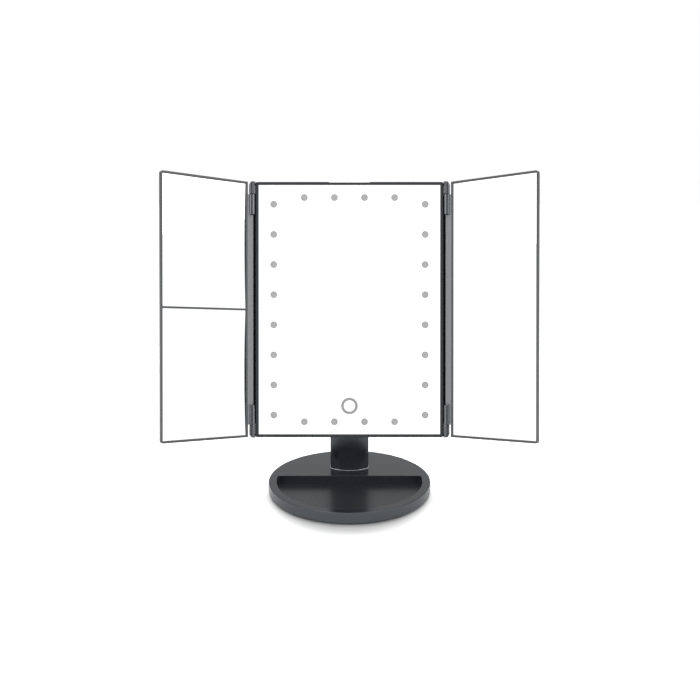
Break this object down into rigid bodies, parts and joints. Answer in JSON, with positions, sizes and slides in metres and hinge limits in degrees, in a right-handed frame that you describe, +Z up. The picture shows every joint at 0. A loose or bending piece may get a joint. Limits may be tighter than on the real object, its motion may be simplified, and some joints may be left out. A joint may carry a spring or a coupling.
{
  "type": "trifold vanity mirror",
  "caption": "Folding three-panel vanity mirror with light windows and a touch ring, on a tilting stem and a round base with a shallow tray.",
  "frame": {"origin": "centre of the round base, on the table plane under its pad", "axes": "+X to the viewer's right along the mirror, +Y away from the viewer, +Z up"},
  "size_m": [0.3228, 0.15, 0.2925],
  "materials": {
    "black_plastic": "satin moulded ABS",
    "black_matte": "fine texture",
    "mirror": "silvered glass",
    "acrylic_mirror": "silvered acrylic",
    "frosted": "frosted diffuser",
    "print": "printed mark",
    "steel": "zinc plated",
    "hinge_metal": "dark plated",
    "iron": "raw",
    "rubber": "matt",
    "foam": "foam",
    "white_plastic": "matt",
    "board": "lacquered",
    "led_phosphor": "resin",
    "chip_plastic": "moulded",
    "wire_red": "insulation",
    "brass": "spring",
    "cell_jacket": "plain sleeve"
  },
  "bodies": {
    "stand": {"base_shell": "black_plastic", "base_plate": "steel", "base_plate_screws": "steel", "base_pad": "rubber", "ballast": "iron", "stem": "black_plastic", "stem_screws": "steel", "tilt_bolt": "steel", "tilt_nut": "steel", "tilt_washers": "rubber", "bolt_caps": "black_plastic"},
    "head": {"centre_frame": "black_plastic", "centre_mirror": "mirror", "led_windows": "frosted", "touch_ring": "print", "touch_pad": "brass", "light_carrier": "white_plastic", "led_boards": "white_plastic", "led_chips": "led_phosphor", "mirror_tape": "foam", "control_board": "board", "board_parts": "chip_plastic", "wires": "wire_red", "usb_inlet": "steel", "switch_body": "chip_plastic", "back_cover": "black_matte", "back_cover_screws": "steel", "battery_cells": "cell_jacket", "battery_contacts": "steel", "hinge_caps": "hinge_metal", "hinge_screws": "steel", "hinge_pins": "steel"},
    "switch": {"switch_knob": "black_matte"},
    "door": {"battery_door": "black_matte"},
    "left_wing": {"left_frame": "black_plastic", "left_back": "black_plastic", "left_upper_mirror": "acrylic_mirror", "left_lower_mirror": "acrylic_mirror", "left_pads": "foam"},
    "right_wing": {"right_frame": "black_plastic", "right_back": "black_plastic", "right_mirror": "mirror", "right_pads": "foam"}
  },
  "joints": [
    {"name": "head_tilt", "type": "hinge", "parent": "stand", "child": "head", "pos_m": [0, 0.027, 0.0939], "axis": [-1, 0, 0], "range_deg": [-18.3, 76.6]},
    {"name": "left_wing_fold", "type": "hinge", "parent": "head", "child": "left_wing", "pos_m": [-0.0885, 0.01824, 0.16792], "axis": [0, 0.2307, 0.973], "range_deg": [-37, 143]},
    {"name": "right_wing_fold", "type": "hinge", "parent": "head", "child": "right_wing", "pos_m": [0.0885, 0.01824, 0.16792], "axis": [0, -0.2307, -0.973], "range_deg": [-37, 143]},
    {"name": "switch_slide", "type": "slide", "parent": "head", "child": "switch", "axis": [0, 0.2307, 0.973], "range_m": [0, 0.003]},
    {"name": "battery_door_slide", "type": "slide", "parent": "head", "child": "door", "axis": [0, 0.2307, 0.973], "range_m": [0, 0.055]}
  ]
}
